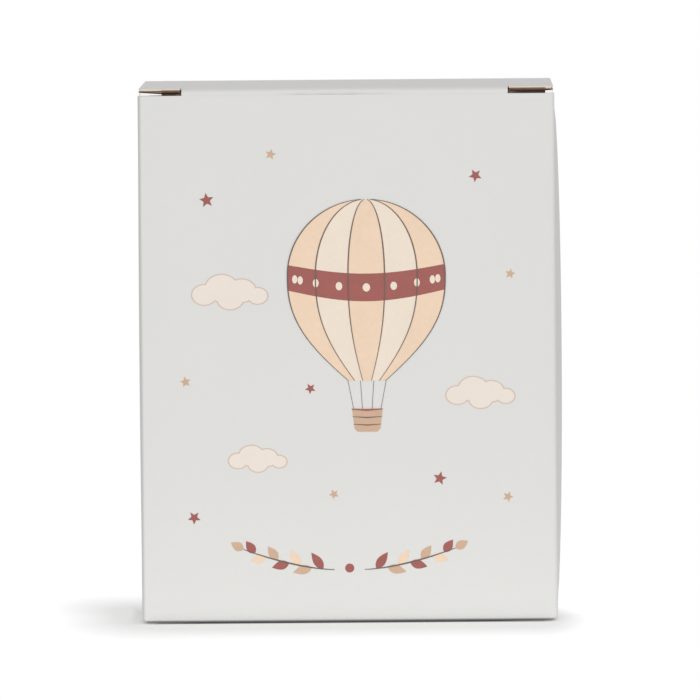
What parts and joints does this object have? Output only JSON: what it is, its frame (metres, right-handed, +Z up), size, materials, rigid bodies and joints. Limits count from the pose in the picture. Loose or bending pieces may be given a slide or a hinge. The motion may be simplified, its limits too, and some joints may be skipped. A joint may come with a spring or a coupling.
{
  "type": "baby tooth box",
  "caption": "Upright tuck-top gift carton of thin corrugated board that holds a tooth-shaped keepsake pot in a board insert.",
  "frame": {"origin": "middle of the carton's footprint, on the surface it stands on", "axes": "+Z up, -Y out of the printed front panel, +X to the right as seen from the front"},
  "size_m": [0.1138, 0.072, 0.1415],
  "materials": {
    "printed_board": "matt, light grey printed liner outside, plain kraft inside",
    "insert_board": "matt, plain white liner",
    "glazed_pot": "glossy off-white glaze"
  },
  "bodies": {
    "carton": {"front_panel": "printed_board", "back_panel": "printed_board", "left_panel": "printed_board", "right_panel": "printed_board", "glue_flap": "printed_board", "bottom_front_flap": "printed_board", "bottom_back_flap": "printed_board", "bottom_left_flap": "printed_board", "bottom_right_flap": "printed_board", "insert_platform": "insert_board", "insert_left_leg": "insert_board", "insert_right_leg": "insert_board"},
    "lid": {"lid_panel": "printed_board"},
    "tuck": {"tuck_flap": "printed_board"},
    "left_dust": {"left_dust_flap": "printed_board"},
    "right_dust": {"right_dust_flap": "printed_board"},
    "pot": {"keepsake_base": "glazed_pot"},
    "pot_cap": {"keepsake_cap": "glazed_pot"}
  },
  "joints": [
    {"name": "lid_open", "type": "hinge", "parent": "carton", "child": "lid", "pos_m": [0, 0.03565, 0.14115], "axis": [-1, 0, 0], "range_deg": [0, 180]},
    {"name": "tuck_fold", "type": "hinge", "parent": "lid", "child": "tuck", "pos_m": [0, -0.03432, 0.14104], "axis": [-1, 0, 0], "range_deg": [0, 105]},
    {"name": "left_dust_fold", "type": "hinge", "parent": "carton", "child": "left_dust", "pos_m": [-0.05465, 0, 0.13965], "axis": [0, -1, 0], "range_deg": [0, 90]},
    {"name": "right_dust_fold", "type": "hinge", "parent": "carton", "child": "right_dust", "pos_m": [0.05465, 0, 0.13965], "axis": [0, 1, 0], "range_deg": [0, 90]},
    {"name": "pot_lift", "type": "slide", "parent": "carton", "child": "pot", "axis": [0, 0, 1], "range_m": [0, 0.01]},
    {"name": "cap_lift", "type": "slide", "parent": "pot", "child": "pot_cap", "axis": [0, 0, 1], "range_m": [0, 0.016]}
  ],
  "couplings": [
    {"joint": "tuck_fold", "follows": "lid_open", "ratio": 0.57778},
    {"joint": "left_dust_fold", "follows": "lid_open", "ratio": 0.5},
    {"joint": "right_dust_fold", "follows": "lid_open", "ratio": 0.5}
  ]
}
